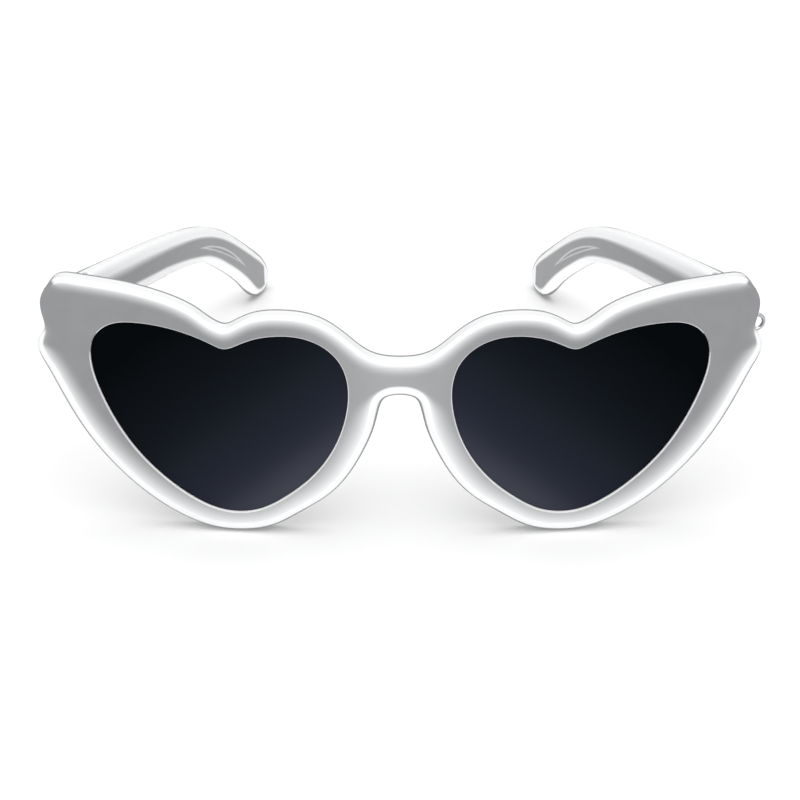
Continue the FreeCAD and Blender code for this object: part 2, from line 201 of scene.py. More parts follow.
@dataclass(frozen=True)
class SmoothLine:
    """Cubic line through points, smooth to the second order, measured along its chords."""

    knots: Array
    points: Array
    slopes: Array

    @classmethod
    def through(
        cls, points: Array, closed: bool = False, ends: Array | None = None,
    ) -> "SmoothLine":
        """Solve the slopes that make neighbouring cubics share their curvature at each point.

        Args:
            points: The points, one row each.
            closed: Whether the line comes back to its first point.
            ends: Unit directions at the first and last point of an open line.

        Returns:
            The line.
        """
        points = np.vstack([points, points[:1]]) if closed else points
        steps = np.linalg.norm(np.diff(points, axis=0), axis=1)
        chords = np.diff(points, axis=0) / steps[:, None]
        count = len(points)
        inner = np.arange(1, count - 1)
        matrix = np.zeros((count, count))
        right = np.zeros_like(points)
        matrix[inner, inner - 1] = steps[1:]
        matrix[inner, inner] = 2 * (steps[:-1] + steps[1:])
        matrix[inner, inner + 1] = steps[:-1]
        right[inner] = 3 * (steps[1:, None] * chords[:-1] + steps[:-1, None] * chords[1:])
        matrix[0, 0] = 1
        if closed:
            matrix[0, -1] = -1
            matrix[-1, -2], matrix[-1, 1] = steps[0], steps[-1]
            matrix[-1, -1] = 2 * (steps[0] + steps[-1])
            right[-1] = 3 * (steps[0] * chords[-1] + steps[-1] * chords[0])
        else:
            matrix[-1, -1] = 1
            right[[0, -1]] = chords[[0, -1]] if ends is None else ends
        knots = np.concatenate([[0], np.cumsum(steps)])
        return cls(knots, points, np.linalg.solve(matrix, right))

    def _span(self, stops: Array) -> tuple[Array, ...]:
        """Find the cubic that each stop falls in.

        Args:
            stops: Lengths along the chords.

        Returns:
            The cubic's ends, its slopes there, and the share of the way along it.
        """
        last = len(self.knots) - 2
        row = np.clip(np.searchsorted(self.knots, stops, side="right") - 1, 0, last)
        width = np.diff(self.knots)[row][:, None]
        share = (stops - self.knots[row])[:, None] / width
        leave, arrive = self.slopes[row] * width, self.slopes[row + 1] * width
        return self.points[row], self.points[row + 1], leave, arrive, share

    def at(self, stops: Array) -> Array:
        """Work out points by the Hermite form of each cubic.

        Args:
            stops: Lengths along the chords.

        Returns:
            The points.
        """
        start, end, leave, arrive, s = self._span(stops)
        rise = s * s * (3 - 2 * s)
        return (start * (1 - rise) + end * rise
                + leave * s * (1 - s) ** 2 - arrive * s * s * (1 - s))

    def right_of(self, stops: Array) -> Array:
        """Work out normals from the first derivative of each cubic.

        Args:
            stops: Lengths along the chords.

        Returns:
            Unit normals on the right of the way along the line.
        """
        start, end, leave, arrive, s = self._span(stops)
        along = ((end - start) * 6 * s * (1 - s)
                 + leave * (1 - s) * (1 - 3 * s) + arrive * s * (3 * s - 2))
        along = along / np.linalg.norm(along, axis=1)[:, None]
        return np.stack([along[:, 1], -along[:, 0]], axis=1)

    def even(self, start: float, end: float, count: int) -> Array:
        """Space stops evenly along the line.

        Args:
            start: The first stop.
            end: The last stop.
            count: How many there are.

        Returns:
            The stops.
        """
        fine = np.linspace(start, end, count * 8)
        run = np.linalg.norm(np.diff(self.at(fine), axis=0), axis=1)
        length = np.concatenate([[0], np.cumsum(run)])
        return np.interp(np.linspace(0, length[-1], count), length, fine)


class Skin:
    """Grids of points, in millimetres, that are welded into one closed mesh."""

    def __init__(self) -> None:
        """Start with no grid."""
        self.points: list[Array] = []
        self.corners: list[Array] = []
        self.count = 0

    def add(self, grid: Array, wrap_rows: bool = False, wrap_columns: bool = False) -> None:
        """Add a grid of points and a quad for each of its cells.

        Args:
            grid: Points as rows by columns by three.
            wrap_rows: Whether the last row joins the first.
            wrap_columns: Whether the last column joins the first.
        """
        rows, columns = grid.shape[:2]
        row, column = np.meshgrid(
            np.arange(rows if wrap_rows else rows - 1),
            np.arange(columns if wrap_columns else columns - 1),
            indexing="ij",
        )
        below, beside = (row + 1) % rows, (column + 1) % columns
        cells = (row * columns + column, below * columns + column,
                 below * columns + beside, row * columns + beside)
        self.corners.append(np.stack(cells, axis=-1).reshape(-1, 4) + self.count)
        self.points.append(grid.reshape(-1, 3))
        self.count += rows * columns

    def add_mirrored(self) -> None:
        """Add every grid again on the other side of the middle plane."""
        points, corners = np.vstack(self.points), np.vstack(self.corners)
        self.points.append(points * (-1, 1, 1))
        self.corners.append(corners[:, ::-1] + self.count)
        self.count *= 2

    def piece(self, name: str, sharp_degrees: float = SHARP_DEGREES, flip: bool = False) -> Piece:
        """Weld the grids into one mesh with its faces outwards and its corners sharp.

        Args:
            name: Name of the new object.
            sharp_degrees: Edges that turn by more than this are shaded sharp.
            flip: Whether the whole skin goes to the other side of the middle plane.

        Returns:
            The object, at the origin.
        """
        points = np.vstack(self.points) * METRES_PER_MM * (-1 if flip else 1, 1, 1)
        mesh = bpy.data.meshes.new(name)
        mesh.from_pydata(points.tolist(), [], np.vstack(self.corners).tolist())
        weld = WELD_MM * METRES_PER_MM
        shaped = bmesh.new()
        shaped.from_mesh(mesh)
        bmesh.ops.remove_doubles(shaped, verts=shaped.verts, dist=weld)
        bmesh.ops.dissolve_degenerate(shaped, edges=shaped.edges, dist=weld)
        bmesh.ops.recalc_face_normals(shaped, faces=shaped.faces)
        shaped.to_mesh(mesh)
        shaped.free()
        made = bpy.data.objects.new(name, mesh)
        bpy.context.scene.collection.objects.link(made)
        shade(made, sharp_degrees)
        return made


def shade(piece: Piece, sharp_degrees: float = SHARP_DEGREES) -> None:
    """Shade a piece smooth, but for the edges that turn by more than an angle."""
    piece.data.shade_smooth()
    piece.data.set_sharp_from_angle(angle=math.radians(sharp_degrees))


def block(low: tuple, high: tuple) -> Array:
    """Skin of a box: its four corners at four stations, closed to a point at each end.

    Args:
        low: The corner with the least coordinates.
        high: The corner across from it.

    Returns:
        The points as a grid.
    """
    low, high = np.asarray(low, float), np.asarray(high, float)
    turns = np.array(((0, 0), (1, 0), (1, 1), (0, 1)), float)
    grid = np.empty((4, 4, 3))
    grid[:, :, :2] = low[:2] + turns * (high - low)[:2]
    grid[:, :, 2] = np.array((low[2], low[2], high[2], high[2]))[:, None]
    grid[[0, 3], :, :2] = (low + high)[:2] / 2
    return grid


def turned(points: Array, degrees: float, place: Array | float) -> Array:
    """Turn points about the vertical through the origin and then move them.

    Args:
        points: The points, in the last axis.
        degrees: The turn, anticlockwise from above.
        place: Where the origin goes.

    Returns:
        The moved points.
    """
    turn = math.radians(degrees)
    c, s = math.cos(turn), math.sin(turn)
    return points @ np.array(((c, -s, 0), (s, c, 0), (0, 0, 1))).T + place


def cut_out(piece: Piece, cutters: list[Piece]) -> None:
    """Cut the cutters' volumes out of a piece and remove the cutters.

    Args:
        piece: The piece.
        cutters: Closed shapes.
    """
    for cutter in cutters:
        cut = piece.modifiers.new("cut", "BOOLEAN")
        cut.operation, cut.solver, cut.object = "DIFFERENCE", "EXACT", cutter
    graph = bpy.context.evaluated_depsgraph_get()
    mesh = bpy.data.meshes.new_from_object(piece.evaluated_get(graph))
    piece.modifiers.clear()
    piece.data = mesh
    for cutter in cutters:
        bpy.data.objects.remove(cutter)
    shade(piece)


def eased(share: Array) -> Array:
    """Shares held between nought and one, with a soft start and end."""
    held = np.clip(share, 0, 1)
    return held * held * (3 - 2 * held)


def between(start: Array | float, end: Array | float, share: Array) -> Array:
    """Values a share of the way from a start to an end."""
    return start + (end - start) * share


def faded(gap: Array, start: Array | float, reach: Array | float) -> Array:
    """Share that is whole up to a start and falls off, fast and then slowly, over a reach."""
    return np.clip(1 - (gap - start) / reach, 0, 1) ** FADE_POWER


def points_of(piece: Piece) -> Array:
    """Read the points of a piece's mesh.

    Args:
        piece: The piece.

    Returns:
        The points, in millimetres.
    """
    flat = np.empty(3 * len(piece.data.vertices))
    piece.data.vertices.foreach_get("co", flat)
    return flat.reshape(-1, 3) / METRES_PER_MM


def nearest(flat: Array, line: Array, parts: int = 64) -> tuple[Array, Array]:
    """Find the point of a line that is nearest to each of many flat points.

    Args:
        flat: The points.
        line: Points along the line.
        parts: How many parts the points are taken in, to spare memory.

    Returns:
        The distances, and the numbers of the line's points.
    """
    found = np.concatenate([
        np.argmin(((part[:, None] - line) ** 2).sum(axis=2), axis=1)
        for part in np.array_split(flat, parts)
    ])
    return np.linalg.norm(flat - line[found], axis=1), found


def softened(piece: Piece, share: Array, rounds: int = 12) -> Array:
    """Even out shares along the edges of a piece.

    Args:
        piece: The piece.
        share: A share at each of its points.
        rounds: How often each point is averaged with its neighbours.

    Returns:
        The softer shares.
    """
    ends = np.empty(2 * len(piece.data.edges), dtype=np.int32)
    piece.data.edges.foreach_get("vertices", ends)
    one, other = ends.reshape(-1, 2).T
    count = len(share)
    joined = np.bincount(one, minlength=count) + np.bincount(other, minlength=count)
    joined = np.maximum(joined, 1)
    for _ in range(rounds):
        around = np.bincount(one, share[other], count) + np.bincount(other, share[one], count)
        share = (share + around / joined) / 2
    return share


def mark_white_and_highlight(piece: Piece, share: Array) -> None:
    """Keep, at each point of a piece, its share of white, which on the rims is a painted
    highlight.
    """
    layer = piece.data.attributes.new("core", "FLOAT", "POINT")
    layer.data.foreach_set("value", share.astype(np.float32))


def linear(hex_colour: str) -> tuple[float, float, float, float]:
    """Undo the sRGB curve of a colour.

    Args:
        hex_colour: The colour, such as C0FFEE.

    Returns:
        The linear colour, with full alpha.
    """
    shares = np.array([int(hex_colour[at:at + 2], 16) for at in (0, 2, 4)]) / 255
    straight = np.where(shares <= 0.04045, shares / 12.92, ((shares + 0.055) / 1.055) ** 2.4)
    return (*straight.tolist(), 1.0)


def per_metre(size_mm: float) -> float:
    """Texture scale at which a pattern's features have a size in millimetres."""
    return 1 / (size_mm * METRES_PER_MM)


def add_node(tree: Tree, kind: str, inputs: dict | None = None, **settings: Any) -> Node:
    """Add a node with its settings and inputs.

    Args:
        tree: The node tree.
        kind: Type of the node.
        inputs: Value of each named input, or the output socket that is linked to it.
        settings: The node's own properties.

    Returns:
        The node.
    """
    node = tree.nodes.new(kind)
    for name, value in settings.items():
        setattr(node, name, value)
    for name, value in (inputs or {}).items():
        if isinstance(value, Socket):
            tree.links.new(value, node.inputs[name])
        else:
            node.inputs[name].default_value = value
    return node


def emptied(owner: bpy.types.Material | bpy.types.World) -> Tree:
    """Give a new material or world a tree without nodes.

    Args:
        owner: The material or world.

    Returns:
        Its tree.
    """
    owner.use_nodes = True
    owner.node_tree.nodes.clear()
    return owner.node_tree


def ramp(node: Node, stops: tuple[tuple[float, str], ...]) -> None:
    """Give a colour ramp its stops.

    Args:
        node: The ramp's node.
        stops: Position and hex colour of each stop.
    """
    elements = node.color_ramp.elements
    while len(elements) < len(stops):
        elements.new(0.5)
    for element, (position, colour) in zip(elements, stops):
        element.position, element.color = position, linear(colour)


def paint(piece: Piece, material: bpy.types.Material) -> None:
    """Give a piece one material."""
    piece.data.materials.clear()
    piece.data.materials.append(material)


@dataclass(frozen=True)
class Finish:
    """A material: its name, and the nodes that its kind adds."""

    name: str

    def shader(self, tree: Tree, place: Socket) -> Node:
        """Add this finish's nodes, fed by Object coordinates, and give their shader."""
        raise NotImplementedError

    def material(self) -> bpy.types.Material:
        """Make the material.

        Returns:
            A new material with this finish's name and nodes.
        """
        made = bpy.data.materials.new(self.name)
        tree = emptied(made)
        place = add_node(tree, "ShaderNodeTexCoord").outputs["Object"]
        surface = self.shader(tree, place).outputs["BSDF"]
        add_node(tree, "ShaderNodeOutputMaterial", {"Surface": surface})
        return made


@dataclass(frozen=True)
class PolishedAcetate(Finish):
    """Pearl grey cellulose acetate, milled, tumbled and buffed.

    The flats keep the pearl grey; the rounded edges get a painted highlight in white, where
    light catches them, and grey is kept as a painted shade line along their backs. The cloud
    is the pearl that was kneaded into the acetate, the ripple is what the buffing wheel leaves,
    and the fine haze of tumbling scratches shows in the roughness.
    """

    pearl: str = "919294"
    cloudy: str = "8D8E90"
    # White of the painted highlight on the rounded edges, and of the plain white pads
    core: str = "FCFDFE"
    varnish: str = "F7F7F7"
    cloud_mm: float = 9.0
    ripple_mm: float = 7.0
    scratch_mm: float = 0.35
    roughness: tuple[float, float] = (0.20, 0.28)

    def shader(self, tree: Tree, place: Socket) -> Node:
        """Cloud the pearl, paint the white highlight on the edges, haze the gloss and ripple the
        surface.

        Args:
            tree: The material's tree.
            place: Object coordinates.

        Returns:
            The shader.
        """
        cloud = add_node(tree, "ShaderNodeTexNoise", {
            "Vector": place, "Scale": per_metre(self.cloud_mm), "Detail": 3.0, "Distortion": 1.2,
        })
        colour = add_node(tree, "ShaderNodeValToRGB", {"Fac": cloud.outputs["Fac"]})
        ramp(colour, ((0.35, self.cloudy), (0.65, self.pearl)))
        # The attribute lays white over the pearl grey: a painted highlight on the rounded edges
        white_and_highlight_share = add_node(tree, "ShaderNodeAttribute", attribute_name="core")
        pearl_and_highlight = add_node(tree, "ShaderNodeMix", {
            0: white_and_highlight_share.outputs["Fac"], 6: colour.outputs["Color"], 7: linear(self.core),
        }, data_type="RGBA")
        haze = add_node(tree, "ShaderNodeTexNoise", {
            "Vector": place, "Scale": per_metre(self.scratch_mm), "Detail": 4.0,
        })
        rough = add_node(tree, "ShaderNodeMapRange", {
            "Value": haze.outputs["Fac"],
            "To Min": self.roughness[0], "To Max": self.roughness[1],
        })
        wave = add_node(tree, "ShaderNodeTexNoise", {
            "Vector": place, "Scale": per_metre(self.ripple_mm), "Detail": 1.0,
        })
        bump = add_node(tree, "ShaderNodeBump", {
            "Height": wave.outputs["Fac"], "Strength": 0.03, "Distance": 0.0001,
        })
        return add_node(tree, "ShaderNodeBsdfPrincipled", {
            "Base Color": pearl_and_highlight.outputs[2], "Roughness": rough.outputs["Result"],
            "Normal": bump.outputs["Normal"], "IOR": 1.48, "Specular IOR Level": 0.35,
            "Coat Weight": 1.0, "Coat IOR": 1.005, "Coat Roughness": 0.1,
            "Coat Tint": linear(self.varnish),
        })


@dataclass(frozen=True)
class TintedLens(Finish):
    """Moulded sun lens, dyed in a bath: nearly black at the top and a little lighter below.

    The dye fades towards the foot and towards the nose, with a faint mottle of the bath, and
    the hard coat keeps reflections low.
    """

    top: str = "040709"
    middle: str = "171B22"
    low: str = "292C37"
    foot: str = "40434C"
    foot_mm: float = 27.25
    top_mm: float = 85.25
    lean: float = 0.8
    mottle_mm: float = 25.0
    mottle: float = 0.06

    def shader(self, tree: Tree, place: Socket) -> Node:
        """Fade the dye from the top outer corner to the foot on the nose side.

        Args:
            tree: The material's tree.
            place: Object coordinates.

        Returns:
            The shader.
        """
        axes = add_node(tree, "ShaderNodeSeparateXYZ", {"Vector": place})
        outward = add_node(tree, "ShaderNodeMath", {0: axes.outputs["X"]}, operation="ABSOLUTE")
        lean = add_node(tree, "ShaderNodeMath", {
            0: outward.outputs["Value"], 1: self.lean, 2: axes.outputs["Z"],
        }, operation="MULTIPLY_ADD")
        height = add_node(tree, "ShaderNodeMapRange", {
            "Value": lean.outputs["Value"],
            "From Min": self.foot_mm * METRES_PER_MM,
            "From Max": self.top_mm * METRES_PER_MM,
        })
        cloud = add_node(tree, "ShaderNodeTexNoise", {
            "Vector": place, "Scale": per_metre(self.mottle_mm), "Detail": 1.0,
        })
        dyed = add_node(tree, "ShaderNodeMath", {
            0: cloud.outputs["Fac"], 1: self.mottle, 2: height.outputs["Result"],
        }, operation="MULTIPLY_ADD")
        colour = add_node(tree, "ShaderNodeValToRGB", {"Fac": dyed.outputs["Value"]})
        colour.color_ramp.interpolation = "CARDINAL"
        ramp(colour, ((0.03, self.foot), (0.20, self.low), (0.48, self.middle), (1.0, self.top)))
        return add_node(tree, "ShaderNodeBsdfPrincipled", {
            "Base Color": colour.outputs["Color"], "Roughness": 0.04, "IOR": 1.5,
            "Specular IOR Level": 0.01,
        })


@dataclass(frozen=True)
class DrawnMetal(Finish):
    """Bare metal with the fine lines of its making: rolled leaf, turned screw, drawn wire.

    The lines run along one axis, so the gloss stretches across them and the tone varies a little.
    """

    colour: str = "C6C7CC"
    dull: str = "A9AAB0"
    roughness: tuple[float, float] = (0.22, 0.38)
    line_mm: float = 0.12
    stretch: tuple[float, float, float] = (1.0, 0.06, 1.0)

    def shader(self, tree: Tree, place: Socket) -> Node:
        """Stretch a noise into lines that drive the tone, the roughness and a fine relief.

        Args:
            tree: The material's tree.
            place: Object coordinates.

        Returns:
            The shader.
        """
        run = add_node(tree, "ShaderNodeMapping", {"Vector": place, "Scale": self.stretch})
        lines = add_node(tree, "ShaderNodeTexNoise", {
            "Vector": run.outputs["Vector"], "Scale": per_metre(self.line_mm), "Detail": 3.0,
        }).outputs["Fac"]
        colour = add_node(tree, "ShaderNodeValToRGB", {"Fac": lines})
        ramp(colour, ((0.3, self.dull), (0.6, self.colour)))
        rough = add_node(tree, "ShaderNodeMapRange", {
            "Value": lines, "To Min": self.roughness[0], "To Max": self.roughness[1],
        })
        bump = add_node(tree, "ShaderNodeBump", {
            "Height": lines, "Strength": 0.1, "Distance": 0.00002,
        })
        return add_node(tree, "ShaderNodeBsdfPrincipled", {
            "Base Color": colour.outputs["Color"], "Roughness": rough.outputs["Result"],
            "Normal": bump.outputs["Normal"], "Metallic": 1.0,
        })


def place_piece(
    piece: Piece, finish: bpy.types.Material, body: str, slot: str, *nodes: str,
) -> None:
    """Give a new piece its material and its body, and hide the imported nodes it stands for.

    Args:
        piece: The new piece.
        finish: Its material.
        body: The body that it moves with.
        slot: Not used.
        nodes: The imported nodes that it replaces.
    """
    paint(piece, finish)
    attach(piece, body)
    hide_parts(*nodes)
    log.info("%s: %d faces on %s", piece.name, len(piece.data.polygons), body)


@dataclass
class HeartFront:
    """The one-piece front: a curved sheet with two heart openings and a pillowed rim.

    The fields from fade_reach to white_depth say where the white painted highlight lies: it
    fades out from the rim over a reach that changes round the outline, crisply under the bridge
    and not at all at the bare tongue, with a faint painted highlight over the bridge, and grey
    is kept near the back as a painted shade line. Their rows count the points of the outer
    outline.
    """

    lens_width: float = 52.0
    lens_height: float = 41.6
    lens_gap: float = 20.6
    side_rim: float = 11.2
    top_rim: float = 8.45
    bottom_rim: float = 5.2
    thickness: float = 4.5
    curve_radius: float = 380.0
    bevel_width: float = 3.2
    bevel_depth: float = 2.2
    bevel_power: float = 1.15
    back_round: float = 0.6
    lens_edge_round: float = 0.35
    groove_depth: float = 0.7
    lens_thickness: float = 1.8
    lens_setback: float = 0.7
    lens_clearance: float = 0.05
    fan_centre: tuple[float, float] = (36.0, 36.75)
    outline_count: int = 440
    seam_count: int = 18
    bevel_rows: int = 19
    wall_rows: int = 15
    back_rows: int = 5
    face_rows: int = 25
    edge_rows: int = 6
    lens_count: int = 320
    lens_rows: int = 26
    blend_mm: float = 1.5
    fade_reach: tuple[tuple, tuple] = (
        (0.0, 2.0, 4.0, 13.0, 17.3, 17.9, 18.5, 20.0, 22.0, 25.0, 30.0, 32.0, 33.5, 35.0),
        (2.7, 2.5, 2.4, 2.4, 0.6, 1.2, 3.2, 3.8, 5.0, 6.6, 6.2, 5.6, 4.4, 2.4),
    )
    fade_inset: float = 0.75
    fade_overlap: float = 0.5
    least_bevel: float = 0.4
    crisp_rows: tuple[float, float] = (33.4, 35.4)
    crisp_start: float = 1.9
    crisp_reach: float = 1.0
    bare_rows: tuple[float, float] = (13.0, 17.3)
    bare_blend: float = 0.35
    bare_rise: float = 0.3
    # A faint painted highlight over the bridge
    bridge_highlight: float = 0.14
    bridge_reach: float = 27.0
    white_shares: tuple[float, float] = (0.45, 0.8)
    # Depth of the band near the back that stays grey, a painted shade line
    back_shade_band: float = 1.2
    white_depth: float = 0.85
    half_width: float = field(init=False)
    height: float = field(init=False)

    def __post_init__(self) -> None:
        """Work out the whole size and the two outlines."""
        self.half_width = self.lens_gap / 2 + self.lens_width + self.side_rim
        self.height = self.bottom_rim + self.lens_height + self.top_rim
        size = np.array((self.half_width, self.height))
        square = np.array(((1.0, 0.0), (-1.0, 0.0)))
        self.outer_line = SmoothLine.through(OUTER_SHARES[:, :2] * size, ends=square)
        corner = np.array((self.lens_gap / 2, self.bottom_rim))
        opening = np.array((self.lens_width, self.lens_height))
        self.lens_line = SmoothLine.through(corner + LENS_SHARES * opening, closed=True)

    def on_curve(self, flat: Array, depth: Array | float) -> Array:
        """Bend flat points: y follows a cylinder a depth behind the face.

        Args:
            flat: X and Z of the points, in the last axis.
            depth: Depth behind the face, for each point or for all.

        Returns:
            The points as X, Y and Z.
        """
        x, z = flat[..., 0], flat[..., 1]
        y = self.curve_radius - np.sqrt((self.curve_radius - depth) ** 2 - x * x)
        return np.stack([x, y + FRONT_Y, z], axis=-1)

    def outline_stops(self) -> Array:
        """Even stops round the outer half outline."""
        return self.outer_line.even(0, self.outer_line.knots[-1], self.outline_count)

    def core(self, piece: Piece) -> Array:
        """Share of white painted highlight: whole on the rounded edges, fading from the rim
        inwards, and none in the grey painted shade line near the back.

        Args:
            piece: The front.

        Returns:
            The share at each of its points.
        """
        points = points_of(piece)
        x, y, _ = points.T
        depth = self.curve_radius - np.hypot(x, self.curve_radius + FRONT_Y - y)
        line, stops = self.outer_line, self.outline_stops()
        gap, at = nearest(np.abs(points[:, [0, 2]]), line.at(stops))
        row = np.interp(stops, line.knots, np.arange(len(line.knots)))[at]
        bevel = self.bevels(stops)[at]
        first, last = self.bare_rows
        bare = eased((row - first) / self.bare_blend) * eased((last - row) / self.bare_blend)
        crisp_from, crisp_to = self.crisp_rows
        crisp = eased((row - crisp_from) / (crisp_to - crisp_from))

        # White fading in from the rim: a painted highlight on the pillowed edge
        inset = self.fade_inset * self.bevel_width * np.maximum(bevel, self.least_bevel)
        start = between(inset - self.fade_overlap, self.crisp_start, crisp)
        reach = between(np.interp(row, *self.fade_reach), self.crisp_reach, crisp)
        rim = faded(gap, start, reach) * (1 - bare)
        rim = rim * crisp + softened(piece, rim) * (1 - crisp)
        # A faint painted highlight over the bridge
        lift = self.bridge_highlight * (1 - eased(np.abs(x) / self.bridge_reach))
        rim = rim + lift * (1 - rim)

        # White through the rounded edge, then grey near the back: painted highlight, then a
        # painted shade line
        least = self.least_bevel + self.bare_rise * eased((row - first) / (last - first))
        depths = (self.thickness - self.back_shade_band, self.white_depth)
        back = np.interp(np.maximum(bevel, least), self.white_shares, depths)
        white = eased(depth / HIGHLIGHT_BLEND_MM) * (1 - eased((depth - back) / HIGHLIGHT_BLEND_MM)) * (1 - bare)
        return np.where(depth < HIGHLIGHT_BLEND_MM, np.maximum(white, rim), white)

    def angles(self, flat: Array) -> Array:
        """Angles of points about the fan centre inside the lens opening, without jumps."""
        away = flat - np.array(self.fan_centre)
        return np.unwrap(np.arctan2(away[:, 1], away[:, 0]))

    def lens_stops(self, flat: Array) -> Array:
        """Find the places on the lens outline that lie in the same directions as other points.

        Args:
            flat: X and Z of points round the opening.

        Returns:
            Stops on the lens outline.
        """
        stops = np.linspace(0, self.lens_line.knots[-1], FINE_STOPS)
        directions = self.angles(self.lens_line.at(stops))
        wanted = directions[0] + np.mod(self.angles(flat) - directions[0], FULL_TURN)
        return np.interp(wanted, directions, stops)

    def bevels(self, stops: Array) -> Array:
        """Share of the bevel round the outline, averaged over a short run by a bell curve.

        Args:
            stops: Even stops on the outline.

        Returns:
            The share at each stop.
        """
        share = np.interp(stops, self.outer_line.knots, OUTER_SHARES[:, 2])
        spacing = self.outer_line.knots[-1] / len(stops)
        reach = max(1, round(self.blend_mm / spacing))
        kernel = np.hanning(2 * reach + 3)[1:-1]
        padded = np.pad(share, len(kernel) // 2, mode="edge")
        return np.convolve(padded, kernel / kernel.sum(), mode="valid")

    def build(self) -> Piece:
        """Carry the rim's profile round the outline, and join it to the openings by two fans.

        The bevel is a quarter of a superellipse: its inset falls with the sine and its depth
        rises with the cosine of one angle, each to the same power. The face and the back are
        straight rulings, in the flat, between the rim and the lens outline.

        Returns:
            The front.
        """
        line, stops = self.outer_line, self.outline_stops()
        edge, inward, bevel = line.at(stops), line.right_of(stops), self.bevels(stops)
        edge[[0, -1], 0], inward[[0, -1], 0] = 0, 0

        theta = np.linspace(0, QUARTER_TURN, self.bevel_rows)[:, None]
        insets = [bevel * self.bevel_width * (1 - np.sin(theta) ** self.bevel_power)]
        depths = [bevel * self.bevel_depth * (1 - np.cos(theta) ** self.bevel_power)]
        wall_end = self.thickness - self.back_round
        wall = np.linspace(0, 1, self.wall_rows)[1:, None]
        insets.append(0 * wall * bevel)
        depths.append(depths[0][-1] * (1 - wall) + wall_end * wall)
        theta = np.linspace(0, QUARTER_TURN, self.back_rows)[1:, None]
        insets.append(self.back_round * (1 - np.cos(theta)) + 0 * bevel)
        depths.append(wall_end + self.back_round * np.sin(theta) + 0 * bevel)
        rim_flat = edge + inward * np.vstack(insets)[..., None]

        skin = Skin()
        skin.add(self.on_curve(rim_flat, np.vstack(depths)))
        rise = np.linspace(0, 1, self.seam_count + 2)[1:-1, None]
        loops = [
            np.vstack([row, row[-1] * (1 - rise) + row[0] * rise]) for row in rim_flat[[0, -1]]
        ]
        lens_at = self.lens_stops(loops[0])
        lens_edge, outward = self.lens_line.at(lens_at), self.lens_line.right_of(lens_at)
        near = lens_edge + outward * self.lens_edge_round
        share = np.linspace(0, 1, self.face_rows)[:, None, None]
        for loop, level in zip(loops, (0.0, self.thickness)):
            skin.add(self.on_curve(loop * (1 - share) + near * share, level), wrap_columns=True)
        grow, sink = self.opening_profile()
        opening = lens_edge + outward * grow[:, None, None]
        skin.add(self.on_curve(opening, sink[:, None]), wrap_columns=True)
        skin.add_mirrored()
        return skin.piece("heart_front")

    def opening_profile(self) -> tuple[Array, Array]:
        """Section of a lens opening: rounded edges, straight walls and the lens groove.

        Returns:
            How far each row stands back from the opening, and its depth behind the face.
        """
        theta = np.linspace(0, QUARTER_TURN, self.edge_rows)
        soft = self.lens_edge_round
        front = self.lens_setback - self.lens_clearance
        back = self.lens_setback + self.lens_thickness + self.lens_clearance
        grow = np.concatenate([
            soft * (1 - np.sin(theta)),
            (0, self.groove_depth, self.groove_depth, 0),
            soft * (1 - np.cos(theta)),
        ])
        sink = np.concatenate([
            soft * (1 - np.cos(theta)),
            (front, front, back, back),
            self.thickness - soft + soft * np.sin(theta),
        ])
        return grow, sink

    def build_lens(self, side: Side) -> Piece:
        """Shrink the outline to the fan centre in rings, on two cylinders, and join their rims.

        Args:
            side: The wearer's side.

        Returns:
            The lens.
        """
        stops = self.lens_line.even(0, self.lens_line.knots[-1], self.lens_count + 1)[:-1]
        grow = self.groove_depth - self.lens_clearance
        outline = self.lens_line.at(stops) + self.lens_line.right_of(stops) * grow
        centre = np.array(self.fan_centre)
        rings = centre + (outline - centre) * np.linspace(0, 1, self.lens_rows)[:, None, None]
        front = self.on_curve(rings, self.lens_setback)
        back = self.on_curve(rings, self.lens_setback + self.lens_thickness)
        skin = Skin()
        for grid in (front, back, np.stack([front[-1], back[-1]])):
            skin.add(grid, wrap_columns=True)
        return skin.piece(side.node("sun_lens"), flip=side is Side.RIGHT)


